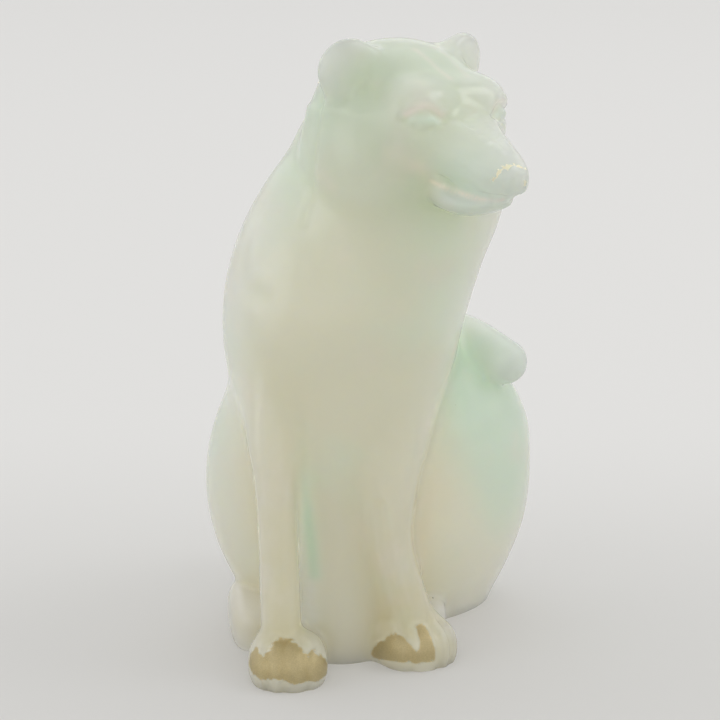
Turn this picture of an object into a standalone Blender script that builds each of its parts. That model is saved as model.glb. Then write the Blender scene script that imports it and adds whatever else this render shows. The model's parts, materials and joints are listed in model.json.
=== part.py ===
"""A seated fox of solid opalescent glass, pressed in one piece.

The animal sits upright with its forelegs together, its head turned to its left and its thick tail laid up
its back, the blunt tip showing beside the flank.  Free form is written in hundredths of the figure's height:
x to the viewer's right, y away from the viewer, z up from the floor.
"""

from math import cos, radians, sin

import bmesh
import bpy
import numpy as np
from mathutils import Matrix

# Driving dimensions, in metres
FIGURE_HEIGHT = 0.100  # floor to the top of the near ear

# The glass
GLASS_COLOUR = (0.80, 0.84, 0.76, 1.0)
GLASS_ROUGHNESS = 0.12

# The pose, in degrees
HEAD_YAW = 40.0  # turn of the head towards the viewer's right
HEAD_PITCH = 8.0  # nose down
HEAD_ROLL = 3.0  # far ear lower
RUMP_YAW = 20.0  # turn of the hindquarters the same way

HEAD_CENTRE = (4.9, 0.0, 86.2)

# The mesh: cell in which the masses are fused, and triangles that the finished solid is thinned to
SURFACE_CELL = 0.6
FACE_BUDGET = 10000
# Finely carved stretches keep smaller triangles: the head, and the feet as far back as FOOT_DEPTH
HEAD_LEVEL = 74.0
FOOT_LEVEL = 9.0
FOOT_DEPTH = 6.0
DETAIL_KEPT = 0.25  # how strongly
CUT_SPARE = -2.0  # glass left below the floor until the underside is cut flat

# Level, middle across, middle along, half width, half depth
CHEST = (
    (-6, -4.6, -5.0, 9.0, 9.5),
    (6, -4.6, -5.0, 9.0, 9.5),
    (16, -4.8, -4.0, 9.2, 10.0),
    (26, -5.0, -2.6, 10.8, 12.0),
    (36, -5.2, -1.2, 14.4, 14.5),
    (45, -4.5, 0.0, 17.9, 16.4),
    (55, -3.6, 0.8, 19.6, 17.4),
    (63, -1.7, 1.6, 20.2, 16.6),
    (70, 1.0, 2.4, 20.2, 15.0),
    (75, 2.9, 3.2, 19.2, 13.6),
    (80, 3.8, 4.4, 16.5, 11.8),
    (86, 3.8, 4.8, 12.8, 9.4),
    (92, 4.4, 4.0, 6.4, 4.6),
)
RUMP = (
    (-8, 0.0, 13.0, 19.0, 13.0),
    (0, 1.0, 13.8, 20.8, 13.2),
    (7, 1.0, 12.6, 24.0, 15.4),
    (15, 0.8, 10.8, 26.8, 17.6),
    (25, 0.5, 9.8, 28.0, 18.8),
    (34, 0.6, 9.6, 26.8, 18.2),
    (41, 0.0, 10.2, 23.4, 16.6),
    (48, -1.8, 10.4, 18.4, 14.6),
    (55, -2.2, 9.8, 13.6, 12.4),
    (63, -1.5, 8.5, 9.0, 9.0),
    (70, 0.0, 7.0, 4.0, 5.0),
)
RUFF = (
    (58, 1.0, 0.6, 8.0, 9.0),
    (66, 1.4, -0.4, 10.6, 11.4),
    (74, 2.2, -0.9, 12.0, 12.0),
    (80, 3.2, -0.4, 12.4, 12.0),
    (86, 4.2, 0.4, 11.6, 11.0),
)
NEAR_LEG = (
    (-4, -13.6, -16.4, 3.1, 4.4),
    (4, -13.6, -16.2, 3.2, 4.6),
    (12, -13.8, -15.6, 3.2, 4.9),
    (22, -14.1, -14.6, 3.1, 5.2),
    (31, -14.5, -12.8, 3.4, 5.6),
    (39, -14.8, -10.0, 4.4, 6.0),
    (47, -13.6, -6.6, 5.0, 6.0),
    (56, -11.5, -3.0, 4.0, 4.0),
)
FAR_LEG = (
    (-4, 7.2, -9.2, 4.6, 5.0),
    (4, 7.0, -9.4, 4.4, 5.0),
    (12, 5.5, -9.8, 3.6, 5.0),
    (20, 3.9, -10.6, 3.3, 5.2),
    (29, 3.9, -10.0, 4.0, 5.8),
    (38, 4.4, -7.6, 5.4, 6.4),
    (47, 4.4, -5.0, 6.0, 6.4),
    (56, 4.0, -2.0, 4.0, 4.0),
)
# The same along the snout and the jaw: distance ahead, middle across, middle up, half width, half height
SNOUT = (
    (4, 0.0, -1.2, 11.0, 9.0),
    (12, 0.0, -0.6, 9.4, 7.6),
    (17, 0.0, -0.8, 7.2, 5.6),
    (22, 0.0, -1.4, 5.3, 4.2),
    (25.5, 0.0, -2.2, 4.2, 3.5),
    (28, 0.0, -2.8, 2.4, 2.2),
)
JAW = (
    (12.5, 0.0, -6.8, 3.0, 1.8),
    (15.5, 0.0, -7.4, 5.1, 2.8),
    (18.5, 0.0, -7.4, 5.5, 2.9),
    (21.0, 0.0, -7.0, 4.9, 2.6),
    (23.2, 0.0, -6.6, 3.8, 2.0),
    (25.4, 0.0, -6.0, 2.2, 1.2),
)
# Points along the tail, from its root up the back to its tip, with the radius there
TAIL = (
    (2.0, 25.0, -2.0, 5.0),
    (-4.0, 27.0, 8.0, 5.8),
    (-8.0, 27.5, 20.0, 6.4),
    (-6.0, 26.5, 32.0, 6.6),
    (1.0, 22.5, 41.5, 6.4),
    (9.5, 17.5, 45.5, 5.8),
    (16.5, 12.5, 46.0, 4.6),
    (22.6, 7.2, 44.4, 3.7),
)
# The feet: middle, turn in degrees, half width, half length, half height
NEAR_FOOT = ((-12.6, -19.0, 2.2), 4.0, (6.3, 7.8, 5.0))
FAR_FOOT = ((7.4, -10.6, 2.2), 24.0, (6.7, 7.6, 5.0))
NEAR_HIND_FOOT = ((-18.1, -0.6, 3.0), 8.0, (4.7, 9.4, 4.7))
FAR_HIND_FOOT = ((8.0, 4.0, 2.2), 6.0, (4.8, 9.0, 4.2))
FOOT_BOXINESS = 2.4  # 2 is a plain ball
HIND_FOOT_BOXINESS = 3.2
LEG_BOXINESS = 2.6
# Each forefoot's clefts between the toes, as shares of its half width
NEAR_CLEFTS = (-0.62, -0.15, 0.45)
FAR_CLEFTS = (-0.5, 0.2, 0.62)

# Rounded masses of the head, in its own frame: middle (side, ahead, up), half sizes, blend, boxiness
SKULL = ((0, 0, 0), (13.8, 12.6, 12.3), 0.0, 2.2)
NOSE = ((0, 25.8, -1.8), (3.2, 2.6, 2.5), 1.0, 2.0)
# The same for what each side has
CHEEK = ((7.6, 1.0, -6.0), (7.0, 10.0, 6.6), 3.0, 2.5)
CHEEKBONE = ((6.4, 10.2, 1.6), (5.2, 4.8, 5.8), 3.0, 2.0)
BROW = ((5.2, 10.6, 6.9), (4.6, 3.4, 2.2), 3.0, 2.0)
EYE = ((7.2, 12.9, 4.1), (2.6, 1.5, 1.3), 1.2, 2.0)
EAR = ((11.2, 0.1, 8.4), (4.4, 2.8, 4.8), 3.4, 2.0)
EAR_SPLAY = 14.0  # degrees that each ear is turned and leaned outwards

# How softly each of the other masses runs into those before it
RUMP_BLEND = 4.5
RUFF_BLEND = 5.0
NEAR_LEG_BLEND = 2.0
FAR_LEG_BLEND = 2.5
NEAR_FOOT_BLEND = 1.6
FAR_FOOT_BLEND = 1.8
NEAR_HIND_FOOT_BLEND = 1.0
FAR_HIND_FOOT_BLEND = 1.5
TAIL_BLEND = 2.2
SNOUT_BLEND = 3.5
JAW_BLEND = 2.0
HEAD_BLEND = 1.4

# Strokes of the carving: points, width and depth, where a negative depth raises a ridge.
# Those of the face are in the head's frame and on both its sides.
UPPER_LID = (((10.7, 12.8, 3.8), (9.3, 14.3, 5.5), (7.3, 15.2, 5.8), (5.1, 15.6, 4.2)), 0.7, 0.7)
LID_FOLD = (((11.1, 12.4, 5.0), (9.4, 13.9, 6.7), (7.1, 14.8, 7.0), (4.9, 15.4, 5.5)), 0.7, -0.6)
LOWER_LID = (((10.5, 12.8, 3.3), (8.1, 14.6, 2.4), (5.3, 15.4, 3.3)), 0.7, 0.3)
MOUTH = (((6.8, 17.4, -4.9), (5.8, 20.6, -5.9), (4.4, 24, -5.9), (2, 27, -5.0), (0, 27.8, -4.8)), 0.65, 0.75)
BRIDGE_CREST = (((6.0, 14.9, 3.3), (3.6, 17.6, 3.4), (1.8, 21.0, 2.7), (1.0, 24.4, 1.4)), 0.8, -0.35)
NOSTRIL = (((1.5, 28.2, -1.9), (1.9, 27.8, -2.2)), 0.6, 0.6)
EAR_HOLLOW = (((11.3, 3.1, 10.2), (11.6, 3.1, 8.6), (11.3, 3.3, 7.0)), 2.2, 2.0)
FACE = (UPPER_LID, LID_FOLD, LOWER_LID, MOUTH, BRIDGE_CREST, NOSTRIL, EAR_HOLLOW)
SHOULDER = (((-19.0, -3.0, 73.0), (-20.6, -5.0, 66.0), (-19.4, -8.0, 61.0), (-16.0, -11.0, 59.6)), 1.6, 0.5)
NECK_EDGE = (((-7.6, 5.0, 91.0), (-9.4, 1.0, 84.0), (-10.6, -2.4, 77.0), (-11.0, -5.0, 71.0)), 0.9, 0.4)
NEAR_LEG_SLOT = (((-9.4, -14, 40), (-9.5, -14, 28), (-9.5, -14, 17), (-9.4, -14.5, 7)), 1.3, 0.8)
FAR_LEG_EDGE = (((2.4, -15.0, 27.0), (3.1, -15.5, 19.0), (4.6, -16.0, 12.0), (6.3, -16.5, 6.5)), 1.0, 0.5)
CLEFT_WIDTH = 0.7
CLEFT_DEPTH = 0.55


def interpolated(at, table):
    """Smooth values of every column after the first of a table of stations, at the given levels."""
    table = np.asarray(table, float)
    levels, values = table[:, 0], table[:, 1:]
    slopes = np.gradient(values, levels, axis=0)
    at = np.clip(at, levels[0], levels[-1])
    below = np.clip(np.searchsorted(levels, at) - 1, 0, len(levels) - 2)
    span = levels[below + 1] - levels[below]
    share = ((at - levels[below]) / span)[:, None]
    span = span[:, None]
    return (
        values[below] * (1 + 2 * share) * (1 - share) ** 2
        + slopes[below] * span * share * (1 - share) ** 2
        + values[below + 1] * share**2 * (3 - 2 * share)
        + slopes[below + 1] * span * share**2 * (share - 1)
    )


def along(points, count):
    """Evenly numbered points on a smooth curve through the given rows."""
    table = np.column_stack([np.arange(len(points)), np.asarray(points, float)])
    return interpolated(np.linspace(0, len(points) - 1, count), table)


class Frame:
    """A place with three axes of its own: side, ahead and up."""

    def __init__(self, origin, axes):
        self.origin, self.axes = np.asarray(origin, float), np.asarray(axes, float)

    def inside(self, points):
        return (points - self.origin) @ self.axes.T

    def outside(self, points):
        return self.origin + np.asarray(points, float) @ self.axes

    def at(self, place, yaw=0.0, pitch=0.0, roll=0.0):
        """A frame set at a place in this one and turned from it: yaw, then nose down, then far side down."""
        turn, nod, tilt = radians(yaw), radians(pitch), radians(roll)
        side = np.array([cos(turn), -sin(turn), 0.0])
        ahead = np.array([sin(turn), cos(turn), 0.0])
        up = np.array([0.0, 0.0, 1.0])
        ahead, up = ahead * cos(nod) - up * sin(nod), up * cos(nod) + ahead * sin(nod)
        side, up = side * cos(tilt) - up * sin(tilt), up * cos(tilt) + side * sin(tilt)
        return Frame(self.outside(place), np.array([side, ahead, up]) @ self.axes)


FLOOR = Frame((0, 0, 0), np.eye(3))


def facing(place, yaw=0.0, pitch=0.0, roll=0.0):
    """A frame at a place, looking at the viewer and then turned to the viewer's right."""
    return Frame(place, np.diag([1, -1, 1])).at((0, 0, 0), yaw, pitch, roll)


class Ellipsoid:
    """A ball stretched along a frame's axes, boxier as its power rises over 2."""

    def __init__(self, frame, radii, blend, power):
        self.frame, self.radii = frame, np.asarray(radii, float)
        self.blend, self.power = blend, power

    def reach(self, shares):
        return (np.abs(shares) ** self.power).sum(axis=1) ** (1 / self.power)

    def distance(self, points):
        local = self.frame.inside(points)
        shares = local / self.radii
        slope = np.linalg.norm(local / self.radii**2, axis=1)
        return np.linalg.norm(shares, axis=1) * (self.reach(shares) - 1) / np.maximum(slope, 1e-9)

    def draw(self, shell):
        made = bmesh.ops.create_icosphere(shell, subdivisions=4, radius=1)["verts"]
        unit = np.array([vert.co for vert in made])
        unit /= self.reach(unit)[:, None]
        for vert, co in zip(made, self.frame.outside(unit * self.radii)):
            vert.co = co


class Loft:
    """Sections, turned by a yaw and boxier as the power rises, along the last axis of the order given."""

    RINGS, SIDES = 40, 40

    def __init__(self, stations, blend=0.0, frame=FLOOR, order=(0, 1, 2), yaw=0.0, power=2.0):
        self.stations, self.blend, self.power = stations, blend, power
        self.frame, self.order, self.yaw = frame, order, radians(yaw)

    def split(self, points):
        local = self.frame.inside(points)
        return local[:, self.order[0]], local[:, self.order[1]], local[:, self.order[2]]

    def distance(self, points):
        across, deep, level = self.split(points)
        table = interpolated(level, self.stations)
        across, deep = across - table[:, 0], deep - table[:, 1]
        turned = across * cos(self.yaw) + deep * sin(self.yaw)
        deep = deep * cos(self.yaw) - across * sin(self.yaw)
        turned_share, deep_share = turned / table[:, 2], deep / table[:, 3]
        reach = (np.abs(turned_share) ** self.power + np.abs(deep_share) ** self.power) ** (1 / self.power)
        slope = np.hypot(turned_share / table[:, 2], deep_share / table[:, 3])
        wall = np.hypot(turned_share, deep_share) * (reach - 1) / np.maximum(slope, 1e-9)
        ends = np.maximum(self.stations[0][0] - level, level - self.stations[-1][0])
        return np.maximum(wall, ends)

    def draw(self, shell):
        levels = np.linspace(self.stations[0][0], self.stations[-1][0], self.RINGS)
        table = interpolated(levels, self.stations)
        angles = np.linspace(0, 2 * np.pi, self.SIDES, endpoint=False)
        section = np.stack([np.cos(angles), np.sin(angles)])
        section /= (np.abs(section) ** self.power).sum(axis=0) ** (1 / self.power)
        rings = []
        for level, (across, deep, width, depth) in zip(levels, table):
            u, v = width * section[0], depth * section[1]
            ring = np.zeros((self.SIDES, 3))
            ring[:, self.order[0]] = across + u * cos(self.yaw) - v * sin(self.yaw)
            ring[:, self.order[1]] = deep + u * sin(self.yaw) + v * cos(self.yaw)
            ring[:, self.order[2]] = level
            rings.append([shell.verts.new(co) for co in self.frame.outside(ring)])
        for lower, upper in zip(rings, rings[1:]):
            for i in range(self.SIDES):
                j = (i + 1) % self.SIDES
                shell.faces.new((lower[i], lower[j], upper[j], upper[i]))
        shell.faces.new(rings[0][::-1])
        shell.faces.new(rings[-1])


class Tube:
    """Round sections along a curve, with round ends."""

    SAMPLES = 60

    def __init__(self, path, blend):
        self.beads, self.blend = along(path, self.SAMPLES), blend

    def distance(self, points):
        nearest = np.full(len(points), np.inf)
        for *centre, radius in self.beads:
            nearest = np.minimum(nearest, np.linalg.norm(points - centre, axis=1) - radius)
        return nearest

    def draw(self, shell):
        for *centre, radius in self.beads[::2]:
            made = bmesh.ops.create_icosphere(shell, subdivisions=3, radius=radius)["verts"]
            bmesh.ops.translate(shell, verts=made, vec=centre)


class Melt:
    """Masses that run into one another, each into those before it over its own blend."""

    def __init__(self, parts, blend=0.0):
        self.parts, self.blend = parts, blend

    def distance(self, points):
        total = self.parts[0].distance(points)
        for part in self.parts[1:]:
            other = part.distance(points)
            share = np.clip(0.5 + 0.5 * (other - total) / part.blend, 0, 1)
            total = other + (total - other) * share - part.blend * share * (1 - share)
        return total

    def draw(self, shell):
        for part in self.parts:
            part.draw(shell)


class Carved:
    """A mass with grooves cut along strokes that lie on its surface; a negative depth raises a ridge."""

    BEADS = 40

    def __init__(self, mass, strokes):
        self.mass = mass
        self.strokes = [
            (settled(along(path, self.BEADS), mass, 8), width, depth) for path, width, depth in strokes
        ]

    def distance(self, points):
        total = self.mass.distance(points)
        for beads, width, depth in self.strokes:
            low, high = beads.min(axis=0) - 3 * width, beads.max(axis=0) + 3 * width
            near = np.flatnonzero(((points > low) & (points < high)).all(axis=1))
            if len(near):
                gap = np.full(len(near), np.inf)
                for bead in beads:
                    gap = np.minimum(gap, ((points[near] - bead) ** 2).sum(axis=1))
                total[near] += depth * np.exp(-gap / width**2)
        return total

    def draw(self, shell):
        self.mass.draw(shell)


def gradient(points, mass, step=0.05):
    """Slope of the distance, from the four corners of a small tetrahedron."""
    corners = np.array([[1, 1, 1], [1, -1, -1], [-1, 1, -1], [-1, -1, 1]], float)
    return sum(mass.distance(points + step * corner)[:, None] * corner for corner in corners) / (4 * step)


def settled(points, mass, rounds):
    """The points moved onto the surface, where the distance is nothing."""
    for _ in range(rounds):
        slope = gradient(points, mass)
        size = np.maximum((slope**2).sum(axis=1), 0.05)
        move = (mass.distance(points) / size)[:, None] * slope
        length = np.linalg.norm(move, axis=1, keepdims=True)
        points = points - move * np.minimum(1, 1.5 / np.maximum(length, 1e-9))
    return points


def rounded(head, shape, side=1, splay=0.0):
    """One of the head's rounded masses, on the side given."""
    (across, ahead, up), radii, blend, power = shape
    frame = head.at((side * across, ahead, up), yaw=side * splay, roll=side * splay)
    return Ellipsoid(frame, radii, blend, power)


def head_mass(head):
    """Skull, snout, cheeks, face, brows, eyes, ears, nose and jaw."""
    ahead = (0, 2, 1)
    parts = [rounded(head, SKULL), Loft(SNOUT, SNOUT_BLEND, head, ahead)]
    for side in (-1, 1):
        parts += [rounded(head, shape, side) for shape in (CHEEK, CHEEKBONE, BROW, EYE)]
        parts.append(rounded(head, EAR, side, EAR_SPLAY))
    parts += [rounded(head, NOSE), Loft(JAW, JAW_BLEND, head, ahead)]
    return Melt(parts, HEAD_BLEND)


def face_strokes(head):
    """The strokes of the face and ears, mirrored to both sides of the head."""
    strokes = []
    for side in (-1, 1):
        for path, width, depth in FACE:
            strokes.append((head.outside(np.array(path) * (side, 1, 1)), width, depth))
    return strokes


def foot(place, yaw, radii, blend, boxiness=FOOT_BOXINESS):
    return Ellipsoid(facing(place, yaw), radii, blend, boxiness)


def cleft_strokes(place, yaw, radii, clefts):
    """The clefts between a foot's toes, from its top down its front to the floor."""
    frame, (width, length, height) = facing(place, yaw), radii
    strokes = []
    for share in clefts:
        across = share * width
        path = (
            (across * 0.85, 0.35 * length, 0.9 * height),
            (across, 0.75 * length, 0.65 * height),
            (across * 1.05, 0.95 * length, 0.0),
            (across * 1.05, 0.95 * length, -0.4 * height),
        )
        strokes.append((frame.outside(path), CLEFT_WIDTH, CLEFT_DEPTH))
    return strokes


def animal():
    """Every mass of the animal, melted into one, with its carving."""
    head = facing(HEAD_CENTRE, HEAD_YAW, HEAD_PITCH, HEAD_ROLL)
    parts = [
        Loft(CHEST),
        Loft(RUMP, RUMP_BLEND, yaw=RUMP_YAW),
        Loft(NEAR_LEG, NEAR_LEG_BLEND, power=LEG_BOXINESS),
        Loft(FAR_LEG, FAR_LEG_BLEND, power=LEG_BOXINESS),
        foot(*NEAR_FOOT, NEAR_FOOT_BLEND),
        foot(*FAR_FOOT, FAR_FOOT_BLEND),
        foot(*NEAR_HIND_FOOT, NEAR_HIND_FOOT_BLEND, HIND_FOOT_BOXINESS),
        foot(*FAR_HIND_FOOT, FAR_HIND_FOOT_BLEND, HIND_FOOT_BOXINESS),
        Tube(TAIL, TAIL_BLEND),
        head_mass(head),
        Loft(RUFF, RUFF_BLEND),
    ]
    strokes = [
        *face_strokes(head),
        *cleft_strokes(*NEAR_FOOT, NEAR_CLEFTS),
        *cleft_strokes(*FAR_FOOT, FAR_CLEFTS),
        SHOULDER,
        NECK_EDGE,
        NEAR_LEG_SLOT,
        FAR_LEG_EDGE,
    ]
    return Carved(Melt(parts), strokes)


def evaluated(obj):
    graph = bpy.context.evaluated_depsgraph_get()
    return bpy.data.meshes.new_from_object(obj.evaluated_get(graph), depsgraph=graph)


def fused_mesh(mass):
    """The masses drawn as closed shells and fused by a voxel Remesh."""
    shell = bmesh.new()
    mass.draw(shell)
    mesh = bpy.data.meshes.new("fused")
    shell.to_mesh(mesh)
    shell.free()
    rough = bpy.data.objects.new("fused", mesh)
    bpy.context.scene.collection.objects.link(rough)
    remesh = rough.modifiers.new("Fuse", "REMESH")
    remesh.mode = "VOXEL"
    remesh.voxel_size = SURFACE_CELL
    fused = evaluated(rough)
    bpy.data.objects.remove(rough)
    return fused


def corners(mesh):
    points = np.empty(len(mesh.vertices) * 3)
    mesh.vertices.foreach_get("co", points)
    return points.reshape(-1, 3)


def neighbours_mean(mesh, points):
    ends = np.empty(len(mesh.edges) * 2, int)
    mesh.edges.foreach_get("vertices", ends)
    ends = ends.reshape(-1, 2)
    total = np.zeros_like(points)
    count = np.zeros(len(points))
    for here, there in (ends.T, ends.T[::-1]):
        np.add.at(total, here, points[there])
        np.add.at(count, here, 1)
    return total / count[:, None]


def sculpt(mesh, mass):
    """Relaxes the fused mesh and settles it on the melted surface."""
    points = corners(mesh)
    for _ in range(3):
        for _ in range(3):
            points = 0.5 * (points + neighbours_mean(mesh, points))
        points = settled(points, mass, 3)
    mesh.vertices.foreach_set("co", points.ravel())
    mesh.update()


def linked(start):
    """Every corner that edges join to the given one."""
    found, waiting = {start}, [start]
    while waiting:
        for edge in waiting.pop().link_edges:
            for vert in edge.verts:
                if vert not in found:
                    found.add(vert)
                    waiting.append(vert)
    return found


def drop_hollows(solid):
    """Leaves only the outer skin, so that the glass is solid and its underside has no pockets."""
    pieces, left = [], set(solid.verts)
    while left:
        pieces.append(linked(next(iter(left))))
        left -= pieces[-1]
    pieces.sort(key=len)
    for piece in pieces[:-1]:
        bmesh.ops.delete(solid, geom=list(piece), context="VERTS")


def clipped(mesh, level, closed):
    """Cuts away what lies under a level, and closes the cut with one flat face if asked."""
    solid = bmesh.new()
    solid.from_mesh(mesh)
    everything = [*solid.verts, *solid.edges, *solid.faces]
    bmesh.ops.bisect_plane(
        solid, geom=everything, dist=1e-7, plane_co=(0, 0, level), plane_no=(0, 0, 1), clear_inner=True
    )
    drop_hollows(solid)
    if closed:
        rim = [edge for edge in solid.edges if edge.is_boundary]
        bmesh.ops.contextual_create(solid, geom=rim)
        bmesh.ops.recalc_face_normals(solid, faces=solid.faces)
    solid.to_mesh(mesh)
    solid.free()


def thinned(mesh):
    """The sculpted mesh in fewer triangles, with the smallest left on the head and the feet."""
    points = corners(mesh)
    feet = (points[:, 2] < FOOT_LEVEL) & (points[:, 1] < FOOT_DEPTH)
    fine = feet | (points[:, 2] > HEAD_LEVEL)
    dense = bpy.data.objects.new("dense", mesh)
    bpy.context.scene.collection.objects.link(dense)
    plain = dense.vertex_groups.new(name="plain")
    plain.add(np.flatnonzero(~fine).tolist(), 1.0, "REPLACE")
    plain.add(np.flatnonzero(fine).tolist(), 0.5, "REPLACE")
    decimate = dense.modifiers.new("Thin", "DECIMATE")
    decimate.ratio = FACE_BUDGET / (2 * len(mesh.polygons))
    decimate.vertex_group = plain.name
    decimate.vertex_group_factor = DETAIL_KEPT
    decimate.use_collapse_triangulate = True
    thin = evaluated(dense)
    bpy.data.objects.remove(dense)
    return thin


def glass():
    material = bpy.data.materials.new("opalescent_glass")
    material.use_nodes = True
    shader = material.node_tree.nodes["Principled BSDF"]
    shader.inputs["Base Color"].default_value = GLASS_COLOUR
    shader.inputs["Roughness"].default_value = GLASS_ROUGHNESS
    shader.inputs["Metallic"].default_value = 0.0
    material.diffuse_color = GLASS_COLOUR
    return material


def figure_mesh():
    """The finished skin, in hundredths of the height until the last step."""
    mass = animal()
    mesh = fused_mesh(mass)
    sculpt(mesh, mass)
    clipped(mesh, CUT_SPARE, False)
    mesh = thinned(mesh)
    clipped(mesh, 0.0, True)
    points = corners(mesh)
    middle = (points.min(axis=0) + points.max(axis=0)) / 2
    mesh.transform(Matrix.Translation((-middle[0], -middle[1], 0)))
    mesh.transform(Matrix.Scale(FIGURE_HEIGHT / 100, 4))
    return mesh


def main():
    for obj in list(bpy.data.objects):
        bpy.data.objects.remove(obj)
    mesh = figure_mesh()
    mesh.materials.append(glass())
    mesh.shade_smooth()
    fox = bpy.data.objects.new("glass_fox", mesh)
    bpy.context.scene.collection.objects.link(fox)


if __name__ == "__main__":
    main()
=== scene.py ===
"""The looks of a seated fox of solid opalescent glass, with worn gold on its toes and nose.

The form is worked out again, finer than the solid that it stands for, in hundredths of the figure's height:
x to the viewer's right, y away from the viewer, z up from the floor.
"""

import json
from math import cos, radians, sin

import bmesh
import bpy
import numpy as np
from bpy.props import FloatProperty, FloatVectorProperty, PointerProperty
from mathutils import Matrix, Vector

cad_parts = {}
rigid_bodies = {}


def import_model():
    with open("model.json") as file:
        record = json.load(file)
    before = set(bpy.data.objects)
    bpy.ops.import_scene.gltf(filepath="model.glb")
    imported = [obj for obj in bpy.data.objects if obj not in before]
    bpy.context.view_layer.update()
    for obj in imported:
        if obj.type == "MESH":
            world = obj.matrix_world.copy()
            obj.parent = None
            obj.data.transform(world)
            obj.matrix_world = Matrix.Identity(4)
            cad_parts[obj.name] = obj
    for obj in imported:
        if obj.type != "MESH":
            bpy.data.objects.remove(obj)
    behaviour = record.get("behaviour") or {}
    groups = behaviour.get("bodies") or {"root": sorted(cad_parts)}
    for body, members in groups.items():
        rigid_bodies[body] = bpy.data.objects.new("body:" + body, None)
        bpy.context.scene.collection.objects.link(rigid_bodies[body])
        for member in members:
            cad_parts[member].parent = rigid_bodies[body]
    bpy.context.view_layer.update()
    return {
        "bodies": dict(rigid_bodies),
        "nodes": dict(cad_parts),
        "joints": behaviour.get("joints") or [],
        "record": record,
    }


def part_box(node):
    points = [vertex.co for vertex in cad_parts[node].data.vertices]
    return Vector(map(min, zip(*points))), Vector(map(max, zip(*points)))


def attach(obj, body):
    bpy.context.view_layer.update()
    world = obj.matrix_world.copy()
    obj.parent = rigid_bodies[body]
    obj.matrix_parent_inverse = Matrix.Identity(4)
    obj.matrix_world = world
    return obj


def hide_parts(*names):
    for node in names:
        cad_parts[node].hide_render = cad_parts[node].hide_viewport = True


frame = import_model()
NODE = "glass_fox"
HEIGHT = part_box(NODE)[1].z

bl_info = {
    "name": "Opalescent Glass Fox",
    "version": (1, 0, 0),
    "blender": (4, 5, 0),
    "location": "3D View > Sidebar > Glass Fox",
    "description": "Makes a pressed opalescent glass fox with worn gilding, and a pale studio for it",
    "category": "Object",
}

# The pose, in degrees
HEAD_YAW = 40.0
HEAD_PITCH = 8.0
HEAD_ROLL = 3.0
RUMP_YAW = 20.0
HEAD_CENTRE = (4.9, 0.0, 86.2)

# Level, middle across, middle along, half width, half depth
CHEST = (
    (-6, -4.6, -5.0, 9.0, 9.5),
    (6, -4.6, -5.0, 9.0, 9.5),
    (16, -4.8, -4.0, 9.2, 10.0),
    (26, -5.0, -2.6, 10.8, 12.0),
    (36, -5.2, -1.2, 14.4, 14.5),
    (45, -4.5, 0.0, 17.9, 16.4),
    (55, -3.6, 0.8, 19.6, 17.4),
    (63, -1.7, 1.6, 20.2, 16.6),
    (70, 1.0, 2.4, 20.2, 15.0),
    (75, 2.9, 3.2, 19.2, 13.6),
    (80, 3.8, 4.4, 16.5, 11.8),
    (86, 3.8, 4.8, 12.8, 9.4),
    (92, 4.4, 4.0, 6.4, 4.6),
)
RUMP = (
    (-8, 0.0, 13.0, 19.0, 13.0),
    (0, 1.0, 13.8, 20.8, 13.2),
    (7, 1.0, 12.6, 24.0, 15.4),
    (15, 0.8, 10.8, 26.8, 17.6),
    (25, 0.5, 9.8, 28.0, 18.8),
    (34, 0.6, 9.6, 26.8, 18.2),
    (41, 0.0, 10.2, 23.4, 16.6),
    (48, -1.8, 10.4, 18.4, 14.6),
    (55, -2.2, 9.8, 13.6, 12.4),
    (63, -1.5, 8.5, 9.0, 9.0),
    (70, 0.0, 7.0, 4.0, 5.0),
)
RUFF = (
    (58, 1.0, 0.6, 8.0, 9.0),
    (66, 1.4, -0.4, 10.6, 11.4),
    (74, 2.2, -0.9, 12.0, 12.0),
    (80, 3.2, -0.4, 12.4, 12.0),
    (86, 4.2, 0.4, 11.6, 11.0),
)
NEAR_LEG = (
    (-4, -13.6, -16.4, 3.1, 4.4),
    (4, -13.6, -16.2, 3.2, 4.6),
    (12, -13.8, -15.6, 3.2, 4.9),
    (22, -14.1, -14.6, 3.1, 5.2),
    (31, -14.5, -12.8, 3.4, 5.6),
    (39, -14.8, -10.0, 4.4, 6.0),
    (47, -13.6, -6.6, 5.0, 6.0),
    (56, -11.5, -3.0, 4.0, 4.0),
)
FAR_LEG = (
    (-4, 7.2, -9.2, 4.6, 5.0),
    (4, 7.0, -9.4, 4.4, 5.0),
    (12, 5.5, -9.8, 3.6, 5.0),
    (20, 3.9, -10.6, 3.3, 5.2),
    (29, 3.9, -10.0, 4.0, 5.8),
    (38, 4.4, -7.6, 5.4, 6.4),
    (47, 4.4, -5.0, 6.0, 6.4),
    (56, 4.0, -2.0, 4.0, 4.0),
)
# The same along the snout and the jaw: distance ahead, middle across, middle up, half width, half height
SNOUT = (
    (4, 0.0, -1.2, 11.0, 9.0),
    (12, 0.0, -0.6, 9.4, 7.6),
    (17, 0.0, -0.8, 7.2, 5.6),
    (22, 0.0, -1.4, 5.3, 4.2),
    (25.5, 0.0, -2.2, 4.2, 3.5),
    (28, 0.0, -2.8, 2.4, 2.2),
)
JAW = (
    (12.5, 0.0, -6.8, 3.0, 1.8),
    (15.5, 0.0, -7.4, 5.1, 2.8),
    (18.5, 0.0, -7.4, 5.5, 2.9),
    (21.0, 0.0, -7.0, 4.9, 2.6),
    (23.2, 0.0, -6.6, 3.8, 2.0),
    (25.4, 0.0, -6.0, 2.2, 1.2),
)
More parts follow.
